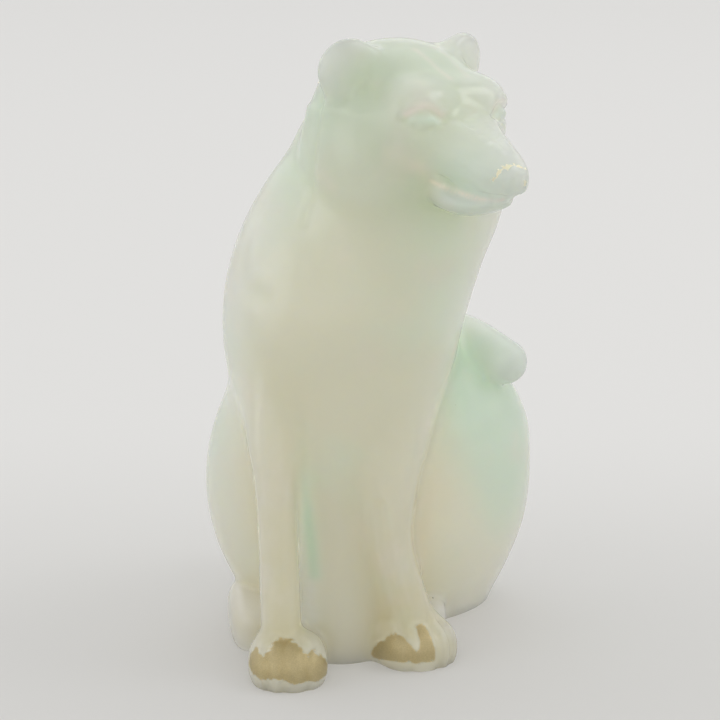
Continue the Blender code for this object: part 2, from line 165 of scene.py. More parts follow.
# Points along the tail, from its root up the back to its tip, with the radius there
TAIL = (
    (2.0, 25.0, -2.0, 5.0),
    (-4.0, 27.0, 8.0, 5.8),
    (-8.0, 27.5, 20.0, 6.4),
    (-6.0, 26.5, 32.0, 6.6),
    (1.0, 22.5, 41.5, 6.4),
    (9.5, 17.5, 45.5, 5.8),
    (16.5, 12.5, 46.0, 4.6),
    (22.6, 7.2, 44.4, 3.7),
)
# The feet: middle, turn in degrees, half width, half length, half height
NEAR_FOOT = ((-12.6, -19.0, 2.2), 4.0, (6.3, 7.8, 5.0))
FAR_FOOT = ((7.4, -10.6, 2.2), 24.0, (6.7, 7.6, 5.0))
NEAR_HIND_FOOT = ((-18.1, -0.6, 3.0), 8.0, (4.7, 9.4, 4.7))
FAR_HIND_FOOT = ((8.0, 4.0, 2.2), 6.0, (4.8, 9.0, 4.2))
FOOT_BOXINESS = 2.4
HIND_FOOT_BOXINESS = 3.2
LEG_BOXINESS = 2.6
NEAR_CLEFTS = (-0.62, -0.15, 0.45)
FAR_CLEFTS = (-0.5, 0.2, 0.62)

# Rounded masses of the head, in its own frame: middle (side, ahead, up), half sizes, blend, boxiness
SKULL = ((0, 0, 0), (13.8, 12.6, 12.3), 0.0, 2.2)
NOSE = ((0, 25.8, -1.8), (3.2, 2.6, 2.5), 1.0, 2.0)
# The same for what each side has
CHEEK = ((7.6, 1.0, -6.0), (7.0, 10.0, 6.6), 3.0, 2.5)
CHEEKBONE = ((6.4, 10.2, 1.6), (5.2, 4.8, 5.8), 3.0, 2.0)
BROW = ((5.2, 10.3, 6.5), (4.6, 3.3, 2.1), 3.6, 2.0)
EYE = ((7.2, 12.9, 4.1), (2.6, 1.5, 1.3), 1.2, 2.0)
NEAR_EAR = ((11.7, 0.0, 8.3), (5.0, 2.8, 4.9), 3.4, 2.0)
FAR_EAR = ((11.2, 0.1, 8.4), (4.4, 2.8, 4.8), 3.4, 2.0)
EAR_SPLAY = 14.0

# How softly each of the other masses runs into those before it
RUMP_BLEND = 4.5
RUFF_BLEND = 5.0
NEAR_LEG_BLEND = 3.2
FAR_LEG_BLEND = 4.0
NEAR_FOOT_BLEND = 1.6
FAR_FOOT_BLEND = 1.8
NEAR_HIND_FOOT_BLEND = 1.0
FAR_HIND_FOOT_BLEND = 1.5
TAIL_BLEND = 2.2
SNOUT_BLEND = 3.5
JAW_BLEND = 2.0
HEAD_BLEND = 1.4

# Strokes of the carving: points, width and depth, where a negative depth raises a ridge.
# Those of the face are in the head's frame and on both its sides.
UPPER_LID = (((10.7, 12.8, 3.8), (9.3, 14.3, 5.5), (7.3, 15.2, 5.8), (5.1, 15.6, 4.2)), 0.7, 0.7)
LID_FOLD = (((11.1, 12.4, 5.0), (9.4, 13.9, 6.7), (7.1, 14.8, 7.0), (4.9, 15.4, 5.5)), 0.7, -0.45)
LOWER_LID = (((10.5, 12.8, 3.3), (8.1, 14.6, 2.4), (5.3, 15.4, 3.3)), 0.7, 0.3)
MOUTH = (((6.8, 17.4, -4.9), (5.8, 20.6, -5.9), (4.4, 24, -5.9), (2, 27, -5.0), (0, 27.8, -4.8)), 0.65, 0.75)
BRIDGE_CREST = (((6.0, 14.9, 3.3), (3.6, 17.6, 3.4), (1.8, 21.0, 2.7), (1.0, 24.4, 1.4)), 0.8, -0.35)
NOSTRIL = (((1.5, 28.2, -1.9), (1.9, 27.8, -2.2)), 0.6, 0.6)
EAR_HOLLOW = (((11.3, 3.1, 10.2), (11.6, 3.1, 8.6), (11.3, 3.3, 7.0)), 2.2, 1.2)
FACE = (UPPER_LID, LID_FOLD, LOWER_LID, MOUTH, BRIDGE_CREST, NOSTRIL, EAR_HOLLOW)
SHOULDER = (((-19.0, -3.0, 73.0), (-20.6, -5.0, 66.0), (-19.4, -8.0, 61.0), (-16.0, -11.0, 59.6)), 2.0, 0.3)
NECK_EDGE = (
    ((-7.6, -6.4, 91), (-7.8, -7.4, 86), (-8.3, -8.4, 81), (-8.8, -8.4, 76), (-9.2, -8.6, 71)),
    0.9,
    0.35,
)
NEAR_LEG_SLOT = (((-9.4, -14, 40), (-9.5, -14, 28), (-9.5, -14, 17), (-9.4, -14.5, 7)), 1.4, 0.3)
FAR_LEG_EDGE = (((2.4, -15.0, 27.0), (3.1, -15.5, 19.0), (4.6, -16.0, 12.0), (6.3, -16.5, 6.5)), 1.0, 0.5)
# A cleft's points, as shares of its place across the foot and of the foot's half length and half height
CLEFT_PATH = ((0.85, 0.35, 0.9), (1.0, 0.75, 0.65), (1.05, 0.95, 0.0), (1.05, 0.95, -0.4))
CLEFT_WIDTH = 0.7
CLEFT_DEPTH = 0.55

# The short ribs across the bridge of the nose: how far ahead the first and last lie, and their number.
# Each is laid above the bridge and settles on it.
BRIDGE_RIBS = (16.8, 22.4, 6)
BRIDGE_RIB_LEVEL = 3.9
BRIDGE_RIB_REACH = 2.2
BRIDGE_RIB_SKEW = 0.5
BRIDGE_RIB_WIDTH = 0.42
BRIDGE_RIB_DEPTH = 0.34

# What is left of the gold, in each forefoot's frame: place across, lowest and highest level, and how far back
NEAR_GOLD = (
    (-6.4, 0.4, 1.2),
    (-5.6, 0.1, 2.8),
    (-4.9, -0.1, 3.6),
    (-4.2, -0.3, 3.1),
    (-3.2, 0.1, 3.8),
    (-2.2, 0.4, 4.5),
    (-0.6, -0.1, 4.9),
    (1.2, -0.5, 4.7),
    (2.1, -0.5, 3.9),
    (2.9, -0.6, 3.0),
    (3.8, -0.7, 3.8),
    (4.6, -0.8, 3.2),
    (5.8, -1.0, 1.4),
    (6.4, -1.0, 0.0),
)
NEAR_GOLD_BACK = 1.6
FAR_GOLD = (
    (-7.4, -1.2, -0.9),
    (-7.0, -1.5, 0.6),
    (-6.1, -0.8, 2.4),
    (-5.0, -0.5, 3.3),
    (-3.9, -0.4, 3.3),
    (-3.2, -0.6, 2.2),
    (-2.6, -0.8, 1.5),
    (-2.0, -0.5, 2.3),
    (-1.6, -0.3, 4.3),
    (-0.7, -0.3, 4.7),
    (0.2, -0.4, 3.8),
    (0.6, -0.4, -0.3),
    (1.4, -0.4, -1.4),
)
FAR_GOLD_BACK = -0.8
# How far from a forefoot's middle its gold can lie, and the distance given where there is none
GOLD_REACH = 12
NO_GOLD = -5.0
# The flecks left on the nose, in the head's frame: points along each and half its width
NOSE_FLECKS = (
    (((-3.5, 26.4, -1.9), (-3.1, 26.7, -1.0), (-2.6, 26.8, -0.5)), 0.36),
    (((-2.3, 26.9, -0.2), (-1.5, 27.0, 0.1)), 0.42),
    (((-1.1, 27.1, 0.2), (-0.4, 27.3, 0.3)), 0.4),
    (((0.0, 27.6, 0.1), (0.5, 28.0, 0.0)), 0.36),
    (((-2.2, 27.0, -0.8), (-1.5, 27.1, -0.5)), 0.22),
    (((1.2, 27.6, -0.3), (1.5, 27.6, -0.4)), 0.36),
    (((1.4, 27.9, -2.2), (1.6, 27.9, -2.6)), 0.5),
)

# Clouds of colour in the milk, as soft balls: middle, half sizes and strength. The sage clouds also paint
# shade on the head's top, and the cream clouds also paint light on the low haunches and the hind foot.
# Greyish green of the jaw, and painted shade: a darker grey green on the head's top, where more light falls
SAGE_AND_SHADE_CLOUDS = (
    ((3.0, -5.0, 91.0), (18.0, 20.0, 17.0), 1.0),
    ((16.0, -21.5, 77.5), (9.0, 6.0, 5.0), 1.0),
)
GREEN_CLOUDS = (
    ((16.0, -19.0, 82.0), (6.0, 6.0, 5.0), 0.7),
    ((16.5, -21.0, 76.0), (9.0, 6.0, 4.0), 1.0),
    ((-9.5, -3.0, 92.0), (7.0, 10.0, 7.0), 0.7),
    ((20.0, 6.0, 42.0), (11.0, 14.0, 12.0), 0.9),
    ((24.0, 4.0, 42.5), (6.0, 6.0, 6.0), 0.8),
    ((22.0, 2.0, 23.0), (11.0, 12.0, 22.0), 1.0),
    ((-25.0, 0.0, 29.0), (4.0, 11.0, 18.0), 0.7),
    ((-14.0, -2.0, 79.0), (6.0, 9.0, 9.0), 0.5),
    ((13.0, -10.0, 66.0), (9.0, 8.0, 14.0), 0.4),
)
HONEY_CLOUDS = (
    ((-13.5, -20.0, 18.0), (6.0, 9.0, 24.0), 0.9),
    ((7.0, -15.0, 12.0), (7.0, 9.0, 20.0), 0.9),
    ((-12.6, -20.0, 0.0), (9.0, 10.0, 6.0), 0.7),
    ((9.5, -12.5, 2.0), (11.0, 10.0, 8.0), 0.8),
    ((-20.5, -6.0, 4.0), (7.0, 10.0, 6.0), 0.6),
)
# Cream of the low haunches and the hind foot: partly the glass's tone, partly painted light that lifts them
# where less light reaches them
CREAM_AND_LIGHT_CLOUDS = (
    ((-20.5, 0.0, 13.0), (10.0, 14.0, 15.0), 1.0),
    ((-19.0, -5.0, 4.0), (7.0, 12.0, 8.0), 0.5),
    ((17.5, 4.0, 4.0), (14.0, 15.0, 12.0), 1.0),
    ((13.0, 0.0, 18.0), (6.0, 10.0, 12.0), 0.8),
    ((9.6, -2.0, 24.0), (3.5, 6.0, 12.0), 0.8),
)
# The same as threads: points along each, half width and strength. Those of the head are in its frame.
# Some are painted light: the pale stripes, the arc on the upper lids and the line on the lower lip.
GREEN_THREAD = (
    ((-9.7, -12.7, 31.0), (-9.3, -13.0, 25.0), (-8.7, -13.0, 19.0), (-8.4, -13.2, 15.0)),
    1.2,
    0.9,
)
# Painted light: a pale stripe that lifts the shade of the groove beside the near leg, and a pale rim along
# the right edge of the chest
PAINTED_LIGHT_THREADS = (
    (((-9.5, -12.5, 40.0), (-9.4, -12.8, 24.0), (-9.2, -13.0, 8.0)), 2.4, 1.0),
    (((13.9, -4.2, 49.5), (12.3, -5.4, 44.8), (9.8, -9.6, 39.5)), 1.6, 0.9),
)
EYE_THREAD = (((9.6, 13.2, 4.0), (8.2, 14.4, 4.2), (6.2, 15.1, 4.2)), 0.7, 0.8)
# Painted highlight: a pale rosy arc along the upper lid
LID_HIGHLIGHT_THREAD = (((10.2, 12.8, 4.8), (8.9, 13.6, 5.9), (7.1, 14.2, 6.3), (5.4, 15.0, 5.1)), 0.7, 0.8)
# A rosy tint at the mouth's corner, and a painted highlight: a cream line along the lower lip
MOUTH_TINT_AND_HIGHLIGHT = (
    (((8.6, 15.0, -3.6), (7.2, 16.8, -4.6)), 1.3, 0.5),
    (
        ((5.4, 15.4, -5.4), (5.0, 16.6, -5.7), (4.2, 20.7, -5.8), (3.0, 23.6, -6.0), (1.1, 26.4, -5.4)),
        0.42,
        1.0,
    ),
)
BROW_STREAKS = (
    (((-1.7, 3.6, 11.8), (-1.1, 7.1, 10.5), (-0.5, 10.6, 9.2)), 0.6, 0.5),
    (((2.6, 3.1, 11.8), (3.7, 6.1, 10.6), (3.2, 10.7, 9.3)), 0.6, 0.4),
)
# Where the glass is clear: the ears, in the head's frame, and the rims of the toes
CLEAR_EARS = (((13.6, 0.4, 12.8), (2.6, 3.0, 2.6), 0.35),)
CLEAR_FEET = (
    ((-12.6, -20.0, -0.6), (9.0, 8.0, 1.4), 0.3),
    ((8.6, -13.0, -0.6), (10.0, 9.0, 1.4), 0.3),
    ((15.0, -10.0, 3.0), (3.0, 6.0, 4.0), 0.5),
)
# Small seeds and one dark speck caught at the surface, from the middle of the floor, and their size
SEEDS = ((10.5, -3.8, 6.7), (13.7, -5.1, 39.6), (9.3, -14.5, 48.9))
SPECK = (10.4, -4.2, 6.0)
SEED_RADIUS = 0.14
SEED_COLOUR = (0.4, 0.4, 0.3, 1)
SEED_STRENGTH = 0.35
SPECK_COLOUR = (0.03, 0.025, 0.02, 1)
# Where they start to fade and are gone, as shares of their radius
DOT_EDGE = (0.6, 1.4)

# How much glass, front to back, looks thin and how much thick; the thin glass's paler milk is partly its
# own tone and partly painted light, shining through less glass
THIN_DEPTH = 12
THICK_DEPTH = 34
# The box that the depth of the glass is worked out in: lowest and highest across, along and up, and its cell
DEPTH_BOX = ((-30, 31), (-30, 37), (0, 102))
DEPTH_CELL = 1.5

# How much of the milk's place clear glass takes at most
CLEAR_MOST = 0.55

# Noises in the glass: cells in a metre, detail and strength. The green and the rosy milk set in over a rise
# of theirs, and the glass is duller and brighter by turns.
GREEN_DRIFT = (60.0, 4.0, 0.3)
ROSY_DRIFT = (85.0, 4.0, 0.3)
DRIFT_RISE = (0.52, 0.75)
POLISH_SWING = (240.0, 3.0, 0.06)
# The same for the wear of the gold, with a strength in hundredths that its edge moves by, and the rise from
# bare glass to gold; then the paint's grain, as cells and detail, and the rise from its dark to its light
GOLD_WEAR = ((1400.0, 4.0, 1.3), (420.0, 3.0, 1.0))
GOLD_EDGE = (-0.02, 0.12)
GOLD_GRAIN = (5200.0, 2.0)
GRAIN_RISE = (0.3, 0.7)
# The gold paint: how much duller than the glass, how metallic, how dark between its grains, and between which
# shares of the height it turns to the paler gold of the nose, a painted glint
GOLD_DULLNESS = 0.35
GOLD_METAL = 0.4
GOLD_SHADE = 0.85
GLINT_RISE = (0.4, 0.6)

# The stage, in metres: the radius and level of the floor's inner rings, its radius where it starts to bend
# up, the bend's radius and steps, and the lamps' sizes and places
FLOOR_RINGS = ((0.001, 0.0), (0.4, 0.0))
FLOOR_RADIUS = 1.2
FLOOR_BEND = 0.3
BEND_STEPS = 24
FLOOR_SIDES = 96
KEY_LAMP = (0.7, (0.1, 0.45, 0.85))
WINDOW_LAMP = (0.4, (0.62, 0.02, 0.7))
FILL_LAMP = (0.6, (-0.9, -0.35, 0.3))
LAMPS_AIM = (0, 0, 0.05)
# Painted light: the glow of the floor at the front and at the back, dimmer at the front as the light falls
# off towards it, and how far back it changes from one to the other
FRONT_GLOW = (0.68, 0.67, 0.645, 1)
BACK_GLOW = (1, 0.995, 0.975, 1)
GLOW_CHANGE = (-0.03, 0.12)


def colour_property(name, description, default):
    """A colour that a user can change, each of its parts from 0 to 1."""
    return FloatVectorProperty(
        name=name, description=description, default=default, subtype="COLOR", min=0, max=1
    )


class FigureSettings(bpy.types.PropertyGroup):
    """Sizes and colours of the glass and its gilding."""

    cell: FloatProperty(
        name="Surface Cell",
        description="Cell of the fine mesh",
        default=0.005 * HEIGHT,
        unit="LENGTH",
        precision=5,
    )
    # Thick and thin milk: the paler thin milk is partly painted light, shining through less glass
    thick_colour: colour_property("Thick Glass", "Warm milk of the thick glass", (0.83, 0.82, 0.675))
    thin_colour: colour_property("Thin Glass", "Pale milk of the thinner glass", (0.93, 0.95, 0.85))
    # Painted shade on the head's top, as well as the greyish green of the jaw
    sage_colour: colour_property("Sage Clouds", "Greyish green of the head and the jaw", (0.63, 0.71, 0.58))
    green_colour: colour_property("Green Clouds", "Milk where it runs green", (0.75, 0.89, 0.755))
    # Rosy milk, and also the painted highlight on the upper lid
    rosy_colour: colour_property("Rosy Milk", "Milk where it turns faintly pink", (0.92, 0.83, 0.75))
    honey_colour: colour_property("Honey Clouds", "Warmer milk of the legs and feet", (0.75, 0.69, 0.49))
    # Cream milk; also painted light on the low haunches, the chest's right rim and the lower lip
    cream_colour: colour_property("Cream Clouds", "Pale cream milk of the low haunches", (1.0, 0.94, 0.79))
    gold_colour: colour_property("Gold", "Worn gold paint on the toes", (0.55, 0.45, 0.24))
    # Painted glint: the worn gold on the nose is paler, to look lit
    glint_colour: colour_property("Gold on the Nose", "The paler flecks on the nose", (0.95, 0.88, 0.62))
    polish: FloatProperty(
        name="Glass Roughness",
        description="How dull the pressed surface is",
        default=0.12,
        subtype="FACTOR",
        min=0,
        max=1,
    )


class StudioSettings(bpy.types.PropertyGroup):
    """The floor, the light and the camera."""

    floor_colour: colour_property("Floor", "Pale seamless floor", (0.46, 0.455, 0.445))
    # Painted light: the floor glows, though it is no lamp
    floor_glow: FloatProperty(
        name="Floor Glow",
        description="Light that the floor gives off, as a lit table does",
        default=0.265,
        min=0,
    )
    ambient: FloatProperty(
        name="Ambient Light",
        description="Strength of the even light from all round",
        default=1.125,
        min=0,
    )
    ceiling: FloatProperty(
        name="Ceiling",
        description="Share of the even light that comes from straight above",
        default=0.72,
        subtype="FACTOR",
        min=0,
        max=1,
    )
    key_power: FloatProperty(
        name="Key Light",
        description="Power of the large soft light over the back of the floor",
        default=0.5,
        unit="POWER",
        min=0,
    )
    fill_power: FloatProperty(
        name="Fill Light",
        description="Power of the broad light from the left",
        default=0.6,
        unit="POWER",
        min=0,
    )
    window_power: FloatProperty(
        name="Window Light",
        description="Power of the small light that makes the highlights",
        default=0.7,
        unit="POWER",
        min=0,
    )
    camera_distance: FloatProperty(
        name="Camera Distance",
        description="From the camera to the point that it aims at",
        default=0.40584,
        unit="LENGTH",
    )
    camera_elevation: FloatProperty(
        name="Camera Elevation",
        description="How far the camera looks down",
        default=radians(15.5),
        subtype="ANGLE",
    )
    lens: FloatProperty(
        name="Focal Length",
        description="Focal length in millimetres on a 36 mm sensor",
        default=126.0,
    )
    aim: FloatVectorProperty(
        name="Aim",
        description="The point that the camera aims at",
        default=(-0.00164, -0.00365, 0.04667),
        subtype="XYZ",
        unit="LENGTH",
    )


def interpolated(at, table):
    """Smooth values of every column after the first of a table of stations, at the given levels.

    Between two stations each value is the cubic that meets both with the slopes of the stations around them.
    """
    table = np.asarray(table, float)
    levels, values = table[:, 0], table[:, 1:]
    slopes = np.gradient(values, levels, axis=0)
    at = np.clip(at, levels[0], levels[-1])
    below = np.clip(np.searchsorted(levels, at) - 1, 0, len(levels) - 2)
    span = levels[below + 1] - levels[below]
    share = ((at - levels[below]) / span)[:, None]
    span = span[:, None]
    return (
        values[below] * (1 + 2 * share) * (1 - share) ** 2
        + slopes[below] * span * share * (1 - share) ** 2
        + values[below + 1] * share**2 * (3 - 2 * share)
        + slopes[below + 1] * span * share**2 * (share - 1)
    )


def along(points, count):
    """Evenly numbered points on a smooth curve through the given rows."""
    table = np.column_stack([np.arange(len(points)), np.asarray(points, float)])
    return interpolated(np.linspace(0, len(points) - 1, count), table)


class Frame:
    """A place with three axes of its own: side, ahead and up."""

    def __init__(self, origin, axes):
        self.origin, self.axes = np.asarray(origin, float), np.asarray(axes, float)

    def inside(self, points):
        return (points - self.origin) @ self.axes.T

    def outside(self, points):
        return self.origin + np.asarray(points, float) @ self.axes

    def at(self, place, yaw=0.0, pitch=0.0, roll=0.0):
        """A frame set at a place in this one and turned from it: yaw, then nose down, then far side down."""
        turn, nod, tilt = radians(yaw), radians(pitch), radians(roll)
        side = np.array([cos(turn), -sin(turn), 0.0])
        ahead = np.array([sin(turn), cos(turn), 0.0])
        up = np.array([0.0, 0.0, 1.0])
        ahead, up = ahead * cos(nod) - up * sin(nod), up * cos(nod) + ahead * sin(nod)
        side, up = side * cos(tilt) - up * sin(tilt), up * cos(tilt) + side * sin(tilt)
        return Frame(self.outside(place), np.array([side, ahead, up]) @ self.axes)


FLOOR = Frame((0, 0, 0), np.eye(3))


def facing(place, yaw=0.0, pitch=0.0, roll=0.0):
    """A frame at a place, looking at the viewer and then turned to the viewer's right."""
    return Frame(place, np.diag([1, -1, 1])).at((0, 0, 0), yaw, pitch, roll)


HEAD = facing(HEAD_CENTRE, HEAD_YAW, HEAD_PITCH, HEAD_ROLL)


class Ellipsoid:
    """A ball stretched along a frame's axes, boxier as its power rises over 2.

    Its distance is the reach less one, over the slope of the reach, where the reach is the sum of the powers
    of the shares along the three axes, brought back to the first power.
    """

    def __init__(self, frame, radii, blend, power):
        self.frame, self.radii = frame, np.asarray(radii, float)
        self.blend, self.power = blend, power

    def reach(self, shares):
        return (np.abs(shares) ** self.power).sum(axis=1) ** (1 / self.power)

    def distance(self, points):
        local = self.frame.inside(points)
        shares = local / self.radii
        slope = np.linalg.norm(local / self.radii**2, axis=1)
        return np.linalg.norm(shares, axis=1) * (self.reach(shares) - 1) / np.maximum(slope, 1e-9)

    def draw(self, shell):
        made = bmesh.ops.create_icosphere(shell, subdivisions=4, radius=1)["verts"]
        unit = np.array([vert.co for vert in made])
        unit /= self.reach(unit)[:, None]
        for vert, co in zip(made, self.frame.outside(unit * self.radii)):
            vert.co = co


class Loft:
    """Elliptic sections along the last axis of the order, turned by a yaw, and boxier over a power of 2.

    Its distance is that of a point to the section at its own level, or past an end where that is further.
    """

    RINGS, SIDES = 40, 40

    def __init__(self, stations, blend=0.0, frame=FLOOR, order=(0, 1, 2), yaw=0.0, power=2.0):
        self.stations, self.blend, self.power = stations, blend, power
        self.frame, self.order, self.yaw = frame, order, radians(yaw)

    def distance(self, points):
        local = self.frame.inside(points)
        across, deep, level = (local[:, axis] for axis in self.order)
        table = interpolated(level, self.stations)
        across, deep = across - table[:, 0], deep - table[:, 1]
        turned = across * cos(self.yaw) + deep * sin(self.yaw)
        deep = deep * cos(self.yaw) - across * sin(self.yaw)
        turned_share, deep_share = turned / table[:, 2], deep / table[:, 3]
        reach = (np.abs(turned_share) ** self.power + np.abs(deep_share) ** self.power) ** (1 / self.power)
        slope = np.hypot(turned_share / table[:, 2], deep_share / table[:, 3])
        wall = np.hypot(turned_share, deep_share) * (reach - 1) / np.maximum(slope, 1e-9)
        ends = np.maximum(self.stations[0][0] - level, level - self.stations[-1][0])
        return np.maximum(wall, ends)

    def draw(self, shell):
        levels = np.linspace(self.stations[0][0], self.stations[-1][0], self.RINGS)
        table = interpolated(levels, self.stations)
        angles = np.linspace(0, 2 * np.pi, self.SIDES, endpoint=False)
        section = np.stack([np.cos(angles), np.sin(angles)])
        section /= (np.abs(section) ** self.power).sum(axis=0) ** (1 / self.power)
        rings = []
        for level, (across, deep, width, depth) in zip(levels, table):
            u, v = width * section[0], depth * section[1]
            ring = np.zeros((self.SIDES, 3))
            ring[:, self.order[0]] = across + u * cos(self.yaw) - v * sin(self.yaw)
            ring[:, self.order[1]] = deep + u * sin(self.yaw) + v * cos(self.yaw)
            ring[:, self.order[2]] = level
            rings.append([shell.verts.new(co) for co in self.frame.outside(ring)])
        for lower, upper in zip(rings, rings[1:]):
            for i in range(self.SIDES):
                j = (i + 1) % self.SIDES
                shell.faces.new((lower[i], lower[j], upper[j], upper[i]))
        shell.faces.new(rings[0][::-1])
        shell.faces.new(rings[-1])


class Tube:
    """Round sections along a curve, with round ends: the least distance to any of a row of balls."""

    SAMPLES = 60

    def __init__(self, path, blend):
        self.beads, self.blend = along(path, self.SAMPLES), blend

    def distance(self, points):
        nearest = np.full(len(points), np.inf)
        for *centre, radius in self.beads:
            nearest = np.minimum(nearest, np.linalg.norm(points - centre, axis=1) - radius)
        return nearest

    def draw(self, shell):
        for *centre, radius in self.beads[::2]:
            made = bmesh.ops.create_icosphere(shell, subdivisions=3, radius=radius)["verts"]
            bmesh.ops.translate(shell, verts=made, vec=centre)


class Melt:
    """Masses that run into one another, each into those before it over its own blend.

    Where two distances differ by less than the blend, their mean is lowered by a parabola of the difference.
    """

    def __init__(self, parts, blend=0.0):
        self.parts, self.blend = parts, blend

    def distance(self, points):
        total = self.parts[0].distance(points)
        for part in self.parts[1:]:
            other = part.distance(points)
            share = np.clip(0.5 + 0.5 * (other - total) / part.blend, 0, 1)
            total = other + (total - other) * share - part.blend * share * (1 - share)
        return total

    def draw(self, shell):
        for part in self.parts:
            part.draw(shell)


class Carved:
    """A mass with grooves cut along strokes that lie on its surface; a negative depth raises a ridge.

    A groove's depth falls off as a bell curve of the distance to its stroke, and stops some widths from it.
    """

    BEADS, ROUNDS, WIDTHS = 40, 8, 3

    def __init__(self, mass, strokes):
        self.mass = mass
        self.strokes = [
            (settled(along(path, self.BEADS), mass, self.ROUNDS), width, depth)
            for path, width, depth in strokes
        ]

    def distance(self, points):
        total = self.mass.distance(points)
        for beads, width, depth in self.strokes:
            low, high = beads.min(axis=0) - self.WIDTHS * width, beads.max(axis=0) + self.WIDTHS * width
            near = np.flatnonzero(((points > low) & (points < high)).all(axis=1))
            if len(near):
                gap = np.full(len(near), np.inf)
                for bead in beads:
                    gap = np.minimum(gap, ((points[near] - bead) ** 2).sum(axis=1))
                total[near] += depth * np.exp(-gap / width**2)
        return total

    def draw(self, shell):
        self.mass.draw(shell)


def gradient(points, mass, step=0.05):
    """Slope of the distance, from the four corners of a small tetrahedron."""
    corners = np.array([[1, 1, 1], [1, -1, -1], [-1, 1, -1], [-1, -1, 1]], float)
    return sum(mass.distance(points + step * corner)[:, None] * corner for corner in corners) / (4 * step)


def settled(points, mass, rounds, least=0.05, longest=1.5):
    """The points moved onto the surface, where the distance is nothing, by the distance over its slope.

    The slope squared is taken as no less than the least, and no move is longer than the longest.
    """
    for _ in range(rounds):
        slope = gradient(points, mass)
        size = np.maximum((slope**2).sum(axis=1), least)
        move = (mass.distance(points) / size)[:, None] * slope
        length = np.linalg.norm(move, axis=1, keepdims=True)
        points = points - move * np.minimum(1, longest / np.maximum(length, 1e-9))
    return points


def rounded(shape, side=1, splay=0.0):
    """One of the head's rounded masses, on the side given."""
    (across, ahead, up), radii, blend, power = shape
    place = HEAD.at((side * across, ahead, up), yaw=side * splay, roll=side * splay)
    return Ellipsoid(place, radii, blend, power)


def head_mass():
    """Skull, snout, cheeks, face, brows, eyes, ears, nose and jaw."""
    ahead = (0, 2, 1)
    parts = [rounded(SKULL), Loft(SNOUT, SNOUT_BLEND, HEAD, ahead)]
    for side, ear in ((-1, NEAR_EAR), (1, FAR_EAR)):
        parts += [rounded(shape, side) for shape in (CHEEK, CHEEKBONE, BROW, EYE)]
        parts.append(rounded(ear, side, EAR_SPLAY))
    parts += [rounded(NOSE), Loft(JAW, JAW_BLEND, HEAD, ahead)]
    return Melt(parts, HEAD_BLEND)


def face_strokes():
    """The strokes of the face and ears, mirrored to both sides of the head."""
    strokes = []
    for side in (-1, 1):
        for path, width, depth in FACE:
            strokes.append((HEAD.outside(np.array(path) * (side, 1, 1)), width, depth))
    return strokes


def bridge_ribs():
    """Shallow ribs across the bridge of the nose, a little askew."""
    strokes = []
    for ahead in np.linspace(*BRIDGE_RIBS):
        path = [
            (side * BRIDGE_RIB_REACH, ahead - side * BRIDGE_RIB_SKEW, BRIDGE_RIB_LEVEL) for side in (-1, 0, 1)
        ]
        strokes.append((HEAD.outside(path), BRIDGE_RIB_WIDTH, BRIDGE_RIB_DEPTH))
    return strokes


def foot(place, yaw, radii, blend, boxiness=FOOT_BOXINESS):
    """One foot, turned from straight ahead."""
    return Ellipsoid(facing(place, yaw), radii, blend, boxiness)


def cleft_strokes(place, yaw, radii, clefts):
    """The clefts between a foot's toes, each at its share of the half width, from the top to the floor."""
    own, (width, length, height) = facing(place, yaw), radii
    strokes = []
    for share in clefts:
        path = np.array(CLEFT_PATH) * (share * width, length, height)
        strokes.append((own.outside(path), CLEFT_WIDTH, CLEFT_DEPTH))
    return strokes


def animal():
    """Every mass of the animal, melted into one, with its carving."""
    parts = [
        Loft(CHEST),
        Loft(RUMP, RUMP_BLEND, yaw=RUMP_YAW),
        Loft(NEAR_LEG, NEAR_LEG_BLEND, power=LEG_BOXINESS),
        Loft(FAR_LEG, FAR_LEG_BLEND, power=LEG_BOXINESS),
        foot(*NEAR_FOOT, NEAR_FOOT_BLEND),
        foot(*FAR_FOOT, FAR_FOOT_BLEND),
        foot(*NEAR_HIND_FOOT, NEAR_HIND_FOOT_BLEND, HIND_FOOT_BOXINESS),
        foot(*FAR_HIND_FOOT, FAR_HIND_FOOT_BLEND, HIND_FOOT_BOXINESS),
        Tube(TAIL, TAIL_BLEND),
        head_mass(),
        Loft(RUFF, RUFF_BLEND),
    ]
    strokes = [
        *face_strokes(),
        *cleft_strokes(*NEAR_FOOT, NEAR_CLEFTS),
        *cleft_strokes(*FAR_FOOT, FAR_CLEFTS),
        SHOULDER,
        NECK_EDGE,
        NEAR_LEG_SLOT,
        FAR_LEG_EDGE,
        *bridge_ribs(),
    ]
    return Carved(Melt(parts), strokes)


def fused_mesh(mass, cell):
    """The masses drawn as closed shells and fused by a voxel Remesh."""
    shell = bmesh.new()
    mass.draw(shell)
    mesh = bpy.data.meshes.new("fused")
    shell.to_mesh(mesh)
    shell.free()
    rough = bpy.data.objects.new("fused", mesh)
    bpy.context.scene.collection.objects.link(rough)
    remesh = rough.modifiers.new("Fuse", "REMESH")
    remesh.mode = "VOXEL"
    remesh.voxel_size = cell
    graph = bpy.context.evaluated_depsgraph_get()
    fused = bpy.data.meshes.new_from_object(rough.evaluated_get(graph), depsgraph=graph)
    bpy.data.objects.remove(rough)
    return fused


def corners(mesh):
    """The mesh's points as rows."""
    points = np.empty(len(mesh.vertices) * 3)
    mesh.vertices.foreach_get("co", points)
    return points.reshape(-1, 3)


def neighbours_mean(mesh, points):
    """For each point, the mean of those that edges join to it."""
    ends = np.empty(len(mesh.edges) * 2, int)
    mesh.edges.foreach_get("vertices", ends)
    ends = ends.reshape(-1, 2)
    total = np.zeros_like(points)
    count = np.zeros(len(points))
    for here, there in (ends.T, ends.T[::-1]):
        np.add.at(total, here, points[there])
        np.add.at(count, here, 1)
    return total / count[:, None]


